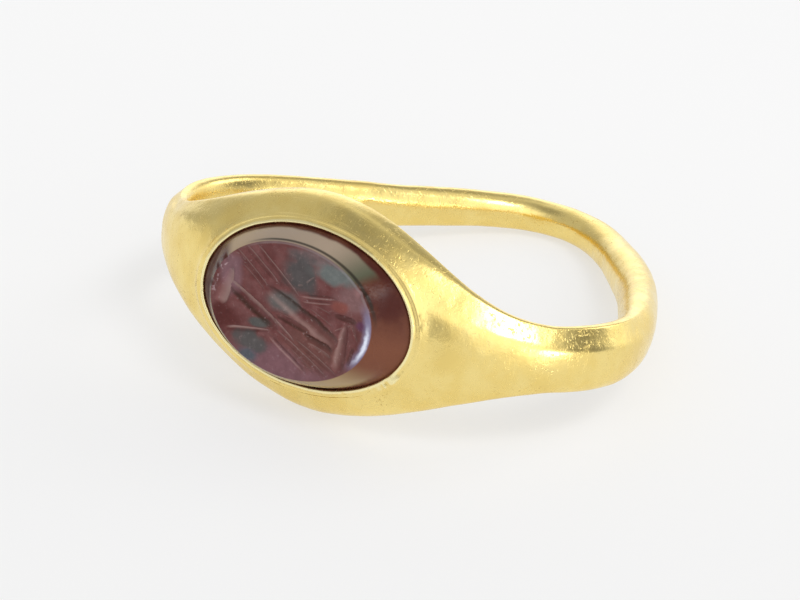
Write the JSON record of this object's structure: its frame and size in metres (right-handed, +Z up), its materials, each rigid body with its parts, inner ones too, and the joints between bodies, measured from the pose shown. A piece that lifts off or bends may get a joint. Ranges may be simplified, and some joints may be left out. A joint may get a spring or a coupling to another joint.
{
  "type": "signet ring",
  "caption": "Gold finger ring with a swelling head, a collar round an engraved oval layered stone and a bed of setting cement.",
  "frame": {"origin": "under the middle of the ring's box, on the table that it rests on", "axes": "+Z up from the table; the head faces -Y and leans back by 11.5 degrees; +X to the right of a viewer who faces the stone; the finger passes close to Z"},
  "size_m": [0.0214, 0.0212, 0.0087],
  "materials": {
    "hoop_gold": "worn satin gold",
    "collar_gold": "burnished gold",
    "layered_stone": "polished, slightly worn",
    "setting_cement": "matt"
  },
  "bodies": {
    "root": {"hoop": "hoop_gold", "collar": "collar_gold", "gem": "layered_stone", "bedding": "setting_cement"}
  },
  "joints": []
}
